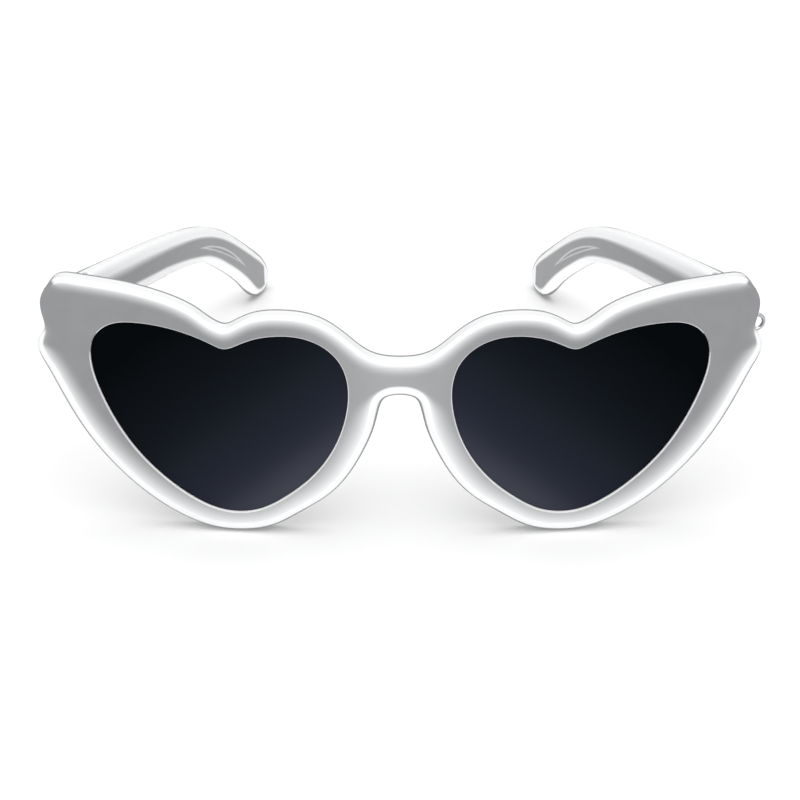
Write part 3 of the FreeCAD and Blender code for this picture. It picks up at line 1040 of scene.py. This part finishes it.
@dataclass
class Hinge:
    """Where a hinge sits and how large its leaves' pockets are."""

    front: HeartFront
    drop: float = 8.4
    standoff: float = 2.2
    stack: float = 7.32
    axis_to_temple: float = 1.5
    leaf_thickness: float = 0.9
    front_leaf_length: float = 8.0
    temple_leaf_length: float = 10.0
    knuckle_radius: float = 1.3
    clearance: float = 0.05
    run_out: float = 2.0
    temple_inset: float = 1.4
    temple_thickness: float = 4.4
    converge_degrees: float = 11.3

    def __post_init__(self) -> None:
        """Find the axis behind the curved back of the front."""
        front = self.front
        self.height = front.height - self.drop
        x = front.half_width - self.temple_inset - self.temple_thickness - self.axis_to_temple
        wrap = math.asin(x / (front.curve_radius - front.thickness))
        surface = front.on_curve(np.array((x, 0.0)), front.thickness)
        self.wrap_degrees = math.degrees(wrap)
        self.axis = surface + np.array((-math.sin(wrap), math.cos(wrap), 0)) * self.standoff

    def cutter(self, low: tuple, high: tuple, degrees: float, side: Side) -> Piece:
        """Bring a box that is as high as the hinge's stack into place.

        Args:
            low: Least x and y, in the hinge's own axes.
            high: Greatest x and y.
            degrees: Turn of those axes about the screw.
            side: The wearer's side.

        Returns:
            The box.
        """
        half = self.stack / 2
        foot, top = self.height - half - self.clearance, self.height + half + self.clearance
        box = block((*low, foot), (*high, top))
        skin = Skin()
        skin.add(turned(box, degrees, self.axis), wrap_columns=True)
        return skin.piece("cutter", flip=side is Side.RIGHT)

    def front_pocket(self, side: Side) -> Piece:
        """Make the cutter for the pocket of the front leaf, open to the back.

        Args:
            side: The wearer's side.

        Returns:
            The cutter.
        """
        room = self.clearance
        low = (-self.front_leaf_length - room, -self.standoff - self.leaf_thickness - room)
        high = (self.knuckle_radius + room, -self.standoff + self.run_out)
        return self.cutter(low, high, self.wrap_degrees, side)

    def temple_pocket(self, side: Side) -> Piece:
        """Make the cutter for the pocket of the temple leaf, open to the inside.

        Args:
            side: The wearer's side.

        Returns:
            The cutter.
        """
        room, inner = self.clearance, self.axis_to_temple
        low = (inner - self.run_out, -self.knuckle_radius - room)
        high = (inner + self.leaf_thickness + room, self.temple_leaf_length + room)
        return self.cutter(low, high, self.converge_degrees, side)


@dataclass
class Temple:
    """A side arm: a flat bar with pillowed edges that bends down behind the ear.

    The fields from crisp_from on say where the white painted highlight lies on the inner side:
    how wide the white edge is and how far it fades along the arm, how deep it goes into the arm
    before grey takes over as a painted shade line, and how much painted highlight rings the
    panel.
    """

    hinge: Hinge
    reach: float = 141.5
    root_height: float = 9.6
    root_overlap: float = 0.4
    butt_gap: float = 0.1
    butt_rounds: int = 4
    root_round: float = 1.4
    arm_round: float = 2.3
    side_round: float = 1.7
    round_from: float = 12.0
    round_to: float = 30.0
    tip_row: float = 8.8
    panel_length: float = 45.6
    panel_crown: float = 3.1
    panel_hollow: float = 1.2
    panel_recess: float = 0.25
    panel_soft: float = 0.7
    panel_centre: tuple[float, float] = (0.700, 0.449)
    panel_tilt_degrees: float = -25.5
    length_count: int = 300
    round_rows: int = 16
    wall_rows: int = 9
    face_rows: int = 31
    crisp_from: float = 80.0
    fade_start: tuple[float, float] = (2.2, 2.3)
    fade_reach: tuple[float, float] = (3.2, 0.9)
    foot_from: float = 56.0
    foot_start: tuple[float, float] = (2.4, 1.5)
    crisp_start: float = 2.4
    crisp_reach: float = 0.8
    tip_length: float = 14.0
    tip_blend: float = 8.0
    end_start: float = 5.8
    upper_white: tuple[tuple, tuple] = ((70.0, 100.0, 125.0, 137.0), (2.7, 0.7, 0.22, 0.0))
    lower_white: tuple[tuple, tuple] = (
        (55.0, 75.0, 122.0, 131.0, 137.0), (0.55, 2.5, 2.5, 0.2, 0.0),
    )
    # Painted highlight round the pressed-in panel
    panel_highlight_share: float = 0.5

    def __post_init__(self) -> None:
        """Work out the side outline."""
        self.rise = self.hinge.height + self.root_height / 2
        self.size = np.array((self.reach, self.rise))
        self.line = SmoothLine.through(TEMPLE_SHARES * self.size)

    def butt(self, x: Array) -> Array:
        """Bring the root's end a small gap behind the curved back of the front, by iteration.

        Args:
            x: X of the end's points, in the arm's own axes.

        Returns:
            Their y in those axes.
        """
        front, hinge = self.hinge.front, self.hinge
        y = np.full_like(x, -hinge.standoff)
        for _ in range(self.butt_rounds):
            points = np.stack([x, y, np.zeros_like(x)], axis=-1)
            placed = turned(points, hinge.converge_degrees, hinge.axis)
            wanted = front.on_curve(placed[..., [0, 2]], front.thickness + self.butt_gap)
            y = y + wanted[..., 1] - placed[..., 1]
        return y

    def stops(self) -> Array:
        """Space stops evenly from the root's top to the tip, and on to the root's foot.

        Returns:
            The stops on the side outline.
        """
        knots = self.line.knots
        tip = np.interp(self.tip_row, np.arange(len(knots)), knots)
        fine = np.linspace(0, knots[-1], FINE_STOPS)
        root = -self.hinge.standoff + self.root_overlap
        behind = fine[self.line.at(fine)[:, 0] > root]
        upper = self.line.even(behind[0], tip, self.length_count)
        lower = self.line.even(tip, behind[-1], self.length_count)
        return np.concatenate([upper, lower[1:]])

    def recess(self, flat: Array) -> Array:
        """Press in a crescent behind the ear bend: in one disc and not in another, eased in.

        Args:
            flat: Y and Z of points of the inner face.

        Returns:
            How far each point is pressed in.
        """
        tilt = math.radians(self.panel_tilt_degrees)
        away = flat - np.array(self.panel_centre) * self.size
        along = away[..., 0] * math.cos(tilt) + away[..., 1] * math.sin(tilt)
        across = away[..., 1] * math.cos(tilt) - away[..., 0] * math.sin(tilt)
        rises = np.array((self.panel_crown, self.panel_hollow))
        radii = ((self.panel_length / 2) ** 2 + rises ** 2) / (2 * rises)
        within = radii - np.hypot(along[..., None], across[..., None] + radii - rises)
        inside = np.minimum(within[..., 0], -within[..., 1])
        return self.panel_recess * eased(inside / self.panel_soft)

    def core(self, piece: Piece, side: Side) -> Array:
        """Share of white painted highlight, with grey painted shade lines beyond it; the grey
        flat is pressed in with the panel.

        Args:
            piece: The arm.
            side: The wearer's side.

        Returns:
            The share at each of its points.
        """
        hinge = self.hinge
        placed = points_of(piece) * (side.value, 1, 1) - hinge.axis
        local = turned(placed, -hinge.converge_degrees, 0)
        along = local[:, 1]
        pressed = self.recess(local[:, 1:])
        inner = local[:, 0] - hinge.axis_to_temple - pressed
        gap, at = nearest(local[:, 1:], self.line.at(self.stops()))
        upper = at < self.length_count

        # White fading in from the edges: a painted highlight on the rounded edges
        run, foot_run = (0, self.crisp_from), (self.foot_from, self.crisp_from)
        start = np.where(
            upper,
            np.interp(along, run, self.fade_start),
            np.interp(along, foot_run, self.foot_start),
        )
        reach = np.where(upper, np.interp(along, run, self.fade_reach), self.crisp_reach)
        tip = eased((along - self.reach + self.tip_length) / self.tip_blend)
        start = between(start, self.crisp_start, tip)
        reach = between(reach, self.crisp_reach, tip)
        # A painted highlight on the end of the tip
        end = faded(self.reach - along, self.end_start, self.crisp_reach)
        rim = np.maximum(faded(gap, start, reach), end)

        # Beyond this depth the edge stays grey: a painted shade line
        white_to = np.where(
            upper, np.interp(along, *self.upper_white), np.interp(along, *self.lower_white),
        )
        edge = 1 - eased((inner - white_to) / HIGHLIGHT_BLEND_MM)
        # A painted highlight ringing the pressed-in panel
        rise = pressed / self.panel_recess
        loop = self.panel_highlight_share * 4 * rise * (1 - rise)
        loop = np.where(inner < hinge.temple_thickness / 2, loop, 0)
        return np.maximum(np.maximum(eased(inner / HIGHLIGHT_BLEND_MM), rim) * edge, loop)

    def build(self, side: Side) -> Piece:
        """Carry the rounded edge round the side outline and fill both faces with rulings.

        The edge is a quarter ellipse on each face, joined by a straight wall. A face is ruled
        from each stop of the upper edge to the matching stop of the lower edge.

        Args:
            side: The wearer's side.

        Returns:
            The arm, without its hinge pocket.
        """
        stops = self.stops()
        edge, inward = self.line.at(stops), self.line.right_of(stops)
        inner = self.hinge.axis_to_temple
        outer = inner + self.hinge.temple_thickness
        ease = eased((edge[:, 0] - self.round_from) / (self.round_to - self.round_from))
        across = between(self.root_round, self.arm_round, ease)
        through = between(self.root_round, self.side_round, ease)
        theta = np.linspace(0, QUARTER_TURN, self.round_rows)[:, None]
        inset = across * (1 - np.sin(theta))
        lift = through * (1 - np.cos(theta))
        wall = np.linspace(0, 1, self.wall_rows)[1:-1, None]
        insets = np.vstack([inset, 0 * wall * across, inset[::-1]])
        wall_x = (inner + through) * (1 - wall) + (outer - through) * wall
        x = np.vstack([inner + lift, wall_x, outer - lift[::-1]])
        rim = np.concatenate([x[..., None], edge + inward * insets[..., None]], axis=-1)
        ends = rim[:, [0, -1]].copy()
        ends[..., 1] = self.butt(ends[..., 0])
        rim = np.concatenate([ends[:, :1], rim, ends[:, 1:]], axis=1)

        share = np.linspace(0, 1, self.face_rows)[:, None, None]
        middle = rim.shape[1] // 2
        faces = [
            row[:middle + 1] * (1 - share) + row[middle:][::-1] * share for row in rim[[0, -1]]
        ]
        faces[0][..., 0] += self.recess(faces[0][..., 1:])
        butt = rim[:, 0] * (1 - share) + rim[:, -1] * share
        skin = Skin()
        for grid in (rim, *faces, butt):
            skin.add(turned(grid, self.hinge.converge_degrees, self.hinge.axis))
        return skin.piece(side.node("temple_arm"), flip=side is Side.RIGHT)


@dataclass
class NosePad:
    """A glued pad behind the nose side: half an ellipse with a rounded rim."""

    front: HeartFront
    length: float = 13.0
    height: float = 19.85
    depth: float = 5.0
    thickness: float = 2.2
    splay_degrees: float = 20.0
    sink: float = 0.12
    roundness: float = 4.5
    stops_per_row: int = 3
    section_count: int = 29
    round_count: int = 49
    wall_rows: int = 9

    def build(self, side: Side) -> Piece:
        """A half disc whose thickness falls to nothing at the rim by a superellipse.

        Args:
            side: The wearer's side.

        Returns:
            The pad.
        """
        front, line = self.front, self.front.outer_line
        last = len(line.knots) - 1
        rows = np.arange(self.stops_per_row * last + 1) / self.stops_per_row
        stops = np.interp(rows, np.arange(last + 1), line.knots)
        points, normals = line.at(stops), line.right_of(stops)
        nose = np.arange(len(stops)) > np.argmin(points[:, 1])
        at = np.argmin(np.abs(points[:, 1] - self.height) + np.where(nose, 0, front.height))
        outboard = np.array((normals[at, 0], 0, normals[at, 1]))
        along = np.array((-outboard[2], 0, outboard[0]))
        splay = math.radians(self.splay_degrees)
        back = np.array((0, math.cos(splay), 0)) + outboard * math.sin(splay)
        away = np.cross(along, back)
        wall = front.on_curve(points[at] + normals[at] * front.back_round, front.thickness)

        q = np.linspace(-QUARTER_TURN, QUARTER_TURN, self.section_count)[:, None]
        theta = np.linspace(0, math.pi, self.round_count)
        power = 2 / self.roundness
        spread = np.maximum(np.cos(q), 0) ** power
        lift = np.sign(np.sin(q)) * np.abs(np.sin(q)) ** power * self.thickness / 2
        u = self.length / 2 * spread * np.cos(theta)
        v = (self.depth + self.sink) * spread * np.sin(theta) - self.sink
        w = lift - self.thickness / 2 + 0 * theta
        grid = wall + u[..., None] * along + v[..., None] * back + w[..., None] * away
        share = np.linspace(0, 1, self.wall_rows)[:, None, None]
        skin = Skin()
        skin.add(grid)
        skin.add(grid[:, 0] * (1 - share) + grid[:, -1] * share)
        return skin.piece(side.node("nose_rest"), flip=side is Side.RIGHT)


@dataclass
class CordRing:
    """A small ring of bent wire, hung under a pin in the outer side of the left arm."""

    hinge: Hinge
    bore_radius: float = 1.2
    wire: float = 0.82
    wire_depth: float = 0.9
    setback: float = 1.2
    drop: float = 2.8
    gap: float = 0.25
    pin_radius: float = 0.45
    pin_depth: float = 2.0
    ring_count: int = 72
    wire_count: int = 24
    sharp_degrees: float = 50.0

    def build(self) -> Piece:
        """Turn an elliptical section about the ring's middle, and a pin about its own line.

        Returns:
            The ring with its pin.
        """
        hinge = self.hinge
        outer = hinge.axis_to_temple + hinge.temple_thickness
        reach = self.gap + self.bore_radius + self.wire
        top = np.array((outer + reach, self.setback, hinge.height - self.drop))
        phi = np.linspace(0, FULL_TURN, self.ring_count + 1)[:-1, None]
        psi = np.linspace(0, FULL_TURN, self.wire_count + 1)[:-1]
        radius = self.bore_radius + self.wire / 2 * (1 + np.cos(psi))
        ring = np.stack([
            radius * np.cos(phi),
            self.wire_depth / 2 * np.sin(psi) + 0 * phi,
            radius * np.sin(phi) - self.bore_radius - self.wire / 2,
        ], axis=-1)
        end = -reach - self.pin_depth
        run = np.array((0, 0, -reach, end, end))[:, None]
        girth = np.array((0, self.pin_radius, self.pin_radius, self.pin_radius, 0))[:, None]
        pin = np.stack([run + 0 * psi, girth * np.cos(psi), girth * np.sin(psi)], axis=-1)
        skin = Skin()
        for grid, wrap_rows in ((ring, True), (pin, False)):
            placed = turned(grid + top, hinge.converge_degrees, hinge.axis * (1, 1, 0))
            skin.add(placed, wrap_rows=wrap_rows, wrap_columns=True)
        return skin.piece("cord_ring_wire", sharp_degrees=self.sharp_degrees)


@dataclass
class Studio:
    """A pale floor, soft light from above and the photograph's camera."""

    distance: float = 285.0
    elevation_degrees: float = 24.796
    target_z: float = 31.703
    lens: float = 64.12
    sensor: float = 36.0
    floor_half: float = 6000.0
    paper: float = 0.78
    paper_glow: tuple[float, float] = (0.6, 0.16)
    world_levels: tuple[float, float] = (0.3, 0.4)
    world_blend: float = 0.4
    ceiling_level: float = 0.88
    ceiling_spread_degrees: float = 75.0
    ceiling_tilt_degrees: float = 12.0

    def camera(self) -> None:
        """Camera at the photograph's angle, looking at the foremost point of the front."""
        data = bpy.data.cameras.new("camera")
        data.lens, data.sensor_width = self.lens, self.sensor
        data.clip_start, data.clip_end = 0.01, 50.0
        view = bpy.data.objects.new("camera", data)
        rise = math.radians(self.elevation_degrees)
        back, up = self.distance * math.cos(rise), self.distance * math.sin(rise)
        view.location = np.array((0, FRONT_Y - back, self.target_z + up)) * METRES_PER_MM
        view.rotation_euler = (QUARTER_TURN - rise, 0, 0)
        bpy.context.scene.collection.objects.link(view)
        bpy.context.scene.camera = view

    def ceiling(self) -> None:
        """Soft light from a wide patch of the ceiling; at a level of one, white renders white."""
        data = bpy.data.lights.new("ceiling", "SUN")
        data.energy = math.pi * self.ceiling_level
        data.angle = math.radians(self.ceiling_spread_degrees)
        lamp = bpy.data.objects.new("ceiling", data)
        lamp.rotation_euler = (math.radians(self.ceiling_tilt_degrees), 0, 0)
        bpy.context.scene.collection.objects.link(lamp)

    def floor(self) -> None:
        """A large pale sheet that looks white and keeps the soft shadow of the sunglasses."""
        line = np.linspace(-self.floor_half, self.floor_half, 3)
        x, y = np.meshgrid(line, line, indexing="ij")
        skin = Skin()
        skin.add(np.stack([x, y, np.zeros_like(x)], axis=-1))
        sheet = skin.piece("floor")
        made = bpy.data.materials.new("matt_paper_sweep")
        tree = emptied(made)
        level = add_node(tree, "ShaderNodeMapRange", {
            "Value": self.seen(tree), "To Min": self.paper_glow[0], "To Max": self.paper_glow[1],
        })
        grey = (self.paper, self.paper, self.paper, 1.0)
        paper = add_node(tree, "ShaderNodeBsdfDiffuse", {"Color": grey})
        glow = add_node(tree, "ShaderNodeEmission", {"Strength": level.outputs["Result"]})
        both = add_node(tree, "ShaderNodeAddShader", {0: paper.outputs[0], 1: glow.outputs[0]})
        add_node(tree, "ShaderNodeOutputMaterial", {"Surface": both.outputs[0]})
        paint(sheet, made)

    def seen(self, tree: Tree) -> Socket:
        """Tell rays of the camera, of gloss and through glass from the others.

        Args:
            tree: The tree to add to.

        Returns:
            One for those rays, and nought for the others.
        """
        path = add_node(tree, "ShaderNodeLightPath")
        some = add_node(tree, "ShaderNodeMath", {
            0: path.outputs["Is Camera Ray"], 1: path.outputs["Is Glossy Ray"],
        }, operation="MAXIMUM")
        return add_node(tree, "ShaderNodeMath", {
            0: some.outputs["Value"], 1: path.outputs["Is Transmission Ray"],
        }, operation="MAXIMUM").outputs["Value"]

    def world(self) -> None:
        """White all round to the eye; its light is dim, and dimmest from the camera's side."""
        world = bpy.data.worlds.new("studio")
        bpy.context.scene.world = world
        tree = emptied(world)
        place = add_node(tree, "ShaderNodeTexCoord").outputs["Generated"]
        axes = add_node(tree, "ShaderNodeSeparateXYZ", {"Vector": place})
        back = add_node(tree, "ShaderNodeMapRange", {
            "Value": axes.outputs["Y"],
            "From Min": -self.world_blend, "From Max": self.world_blend,
            "To Min": self.world_levels[0], "To Max": self.world_levels[1],
        })
        light, white = [
            add_node(tree, "ShaderNodeBackground", {"Color": linear("FFFFFF"), "Strength": level})
            for level in (back.outputs["Result"], 1.0)
        ]
        both = add_node(tree, "ShaderNodeMixShader", {
            0: self.seen(tree), 1: light.outputs[0], 2: white.outputs[0],
        })
        add_node(tree, "ShaderNodeOutputWorld", {"Surface": both.outputs[0]})

    def build(self) -> None:
        """Set the camera, the floor, the world and the light."""
        for step in (self.camera, self.floor, self.world, self.ceiling):
            step()
        bpy.context.scene.view_settings.view_transform = "Standard"


def dress_metal() -> None:
    """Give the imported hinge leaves, rivets, screws and core wires their metals."""
    rivet = {"colour": "B9BAC0", "dull": "9C9DA3"}
    finishes = {
        "front_hinge_leaf": DrawnMetal("rolled_nickel_silver"),
        "temple_hinge_leaf": DrawnMetal("rolled_nickel_silver_arm"),
        "front_hinge_rivets": DrawnMetal("headed_steel_rivet", **rivet),
        "temple_hinge_rivets": DrawnMetal("headed_steel_rivet_arm", **rivet),
        "hinge_screw": DrawnMetal("turned_bright_steel", colour="D4D5D9", roughness=(0.12, 0.25)),
        "temple_core_wire": DrawnMetal("drawn_steel_wire", colour="A4A5AB", dull="8B8C92"),
    }
    for stem, finish in finishes.items():
        material = finish.material()
        for side in Side:
            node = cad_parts[side.node(stem)]
            paint(node, material)
            log.info("%s: %s", node.name, finish.name)


def main() -> None:
    """Build every piece in order and report it."""
    logging.basicConfig(level=logging.INFO, format="%(name)s %(message)s")
    acetate = PolishedAcetate("polished_white_acetate").material()
    # A darker copy of the acetate for the arms: painted shade on their inner faces, with a
    # lighter coat tint
    shaded_arm_acetate = PolishedAcetate(
        "polished_white_acetate_arm", pearl="898A8C", cloudy="858688", varnish="FBFBFB",
    ).material()
    dyed = TintedLens("dyed_sun_lens").material()
    plated = DrawnMetal(
        "plated_brass_wire", colour="C0C1C5", dull="A2A3A8", roughness=(0.2, 0.34),
    ).material()
    Studio().build()
    front = HeartFront()
    hinge = Hinge(front)
    rim = front.build()
    cut_out(rim, [hinge.front_pocket(side) for side in Side])
    mark_white_and_highlight(rim, front.core(rim))
    place_piece(rim, acetate, "front_assembly", "pearl_acetate", "front_frame")
    temple = Temple(hinge)
    for side in Side:
        lens = front.build_lens(side)
        place_piece(lens, dyed, "front_assembly", "tinted_lens", side.node("lens"))
        pad = NosePad(front).build(side)
        mark_white_and_highlight(pad, np.ones(len(pad.data.vertices)))
        place_piece(pad, acetate, "front_assembly", "pearl_acetate", side.node("nose_pad"))
        arm = temple.build(side)
        cut_out(arm, [hinge.temple_pocket(side)])
        mark_white_and_highlight(arm, temple.core(arm, side))
        place_piece(arm, shaded_arm_acetate, side.arm, "pearl_acetate", side.node("temple"))
    place_piece(CordRing(hinge).build(), plated, Side.LEFT.arm, "ring_metal", "cord_ring")
    dress_metal()


if __name__ == "__main__":
    main()
